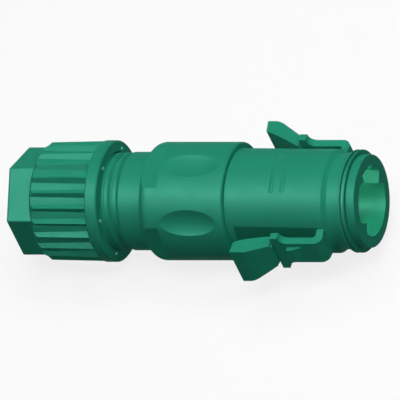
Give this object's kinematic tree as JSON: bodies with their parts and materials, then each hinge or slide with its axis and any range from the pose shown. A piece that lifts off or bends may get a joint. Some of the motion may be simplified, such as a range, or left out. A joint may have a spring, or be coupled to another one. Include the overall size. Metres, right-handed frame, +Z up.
{
  "type": "circular power connector",
  "caption": "Round snap-in cable connector: pin insert in a keyed sleeve with side latches, grip body and ribbed gland nut.",
  "frame": {"origin": "on the connector's axis, in the plane of the mating face at the front of the nose", "axes": "+X along the axis, out of the mating end; +Y and -Y towards the two latches; +Z up"},
  "size_m": [0.1445, 0.0636, 0.0468],
  "materials": {
    "housing_plastic": "moulded, fine satin grain",
    "nose_seal_rubber": "moulded, satin",
    "inner_seal_rubber": "moulded, dull",
    "clamp_plastic": "moulded, satin",
    "insert_plastic": "moulded, glass-filled, satin",
    "contact_metal": "turned and plated, bright",
    "screw_steel": "zinc plated"
  },
  "bodies": {
    "shell": {"front_sleeve": "housing_plastic", "rear_body": "housing_plastic", "nose_seal": "nose_seal_rubber", "body_seal": "inner_seal_rubber", "cable_seal": "inner_seal_rubber", "clamp_cage": "clamp_plastic", "contact_carrier": "insert_plastic", "lock_ring": "insert_plastic", "contact_1": "contact_metal", "clamp_screw_1": "screw_steel", "contact_2": "contact_metal", "clamp_screw_2": "screw_steel", "contact_3": "contact_metal", "clamp_screw_3": "screw_steel", "contact_4": "contact_metal", "clamp_screw_4": "screw_steel", "contact_5": "contact_metal", "clamp_screw_5": "screw_steel"},
    "pressure_ring": {"pressure_ring": "clamp_plastic"},
    "gland_nut": {"gland_nut": "housing_plastic"},
    "latch_left": {"latch_left": "housing_plastic"},
    "latch_right": {"latch_right": "housing_plastic"}
  },
  "joints": [
    {"name": "gland_travel", "type": "slide", "parent": "shell", "child": "pressure_ring", "axis": [1, 0, 0], "range_m": [-0.0071, 0.001]},
    {"name": "gland_turn", "type": "hinge", "parent": "pressure_ring", "child": "gland_nut", "pos_m": [-0.125, 0, 0], "axis": [1, 0, 0], "range_deg": [-720, 100]},
    {"name": "latch_left_press", "type": "hinge", "parent": "shell", "child": "latch_left", "pos_m": [-0.0146, 0.01865, 0], "axis": [0, 0, 1], "range_deg": [0, 6], "stiffness_Nm_per_rad": 0.8},
    {"name": "latch_right_press", "type": "hinge", "parent": "shell", "child": "latch_right", "pos_m": [-0.0146, -0.01865, 0], "axis": [0, 0, -1], "range_deg": [0, 6], "stiffness_Nm_per_rad": 0.8}
  ],
  "couplings": [
    {"joint": "gland_travel", "follows": "gland_turn", "m_per_rad": 0.00055704}
  ]
}
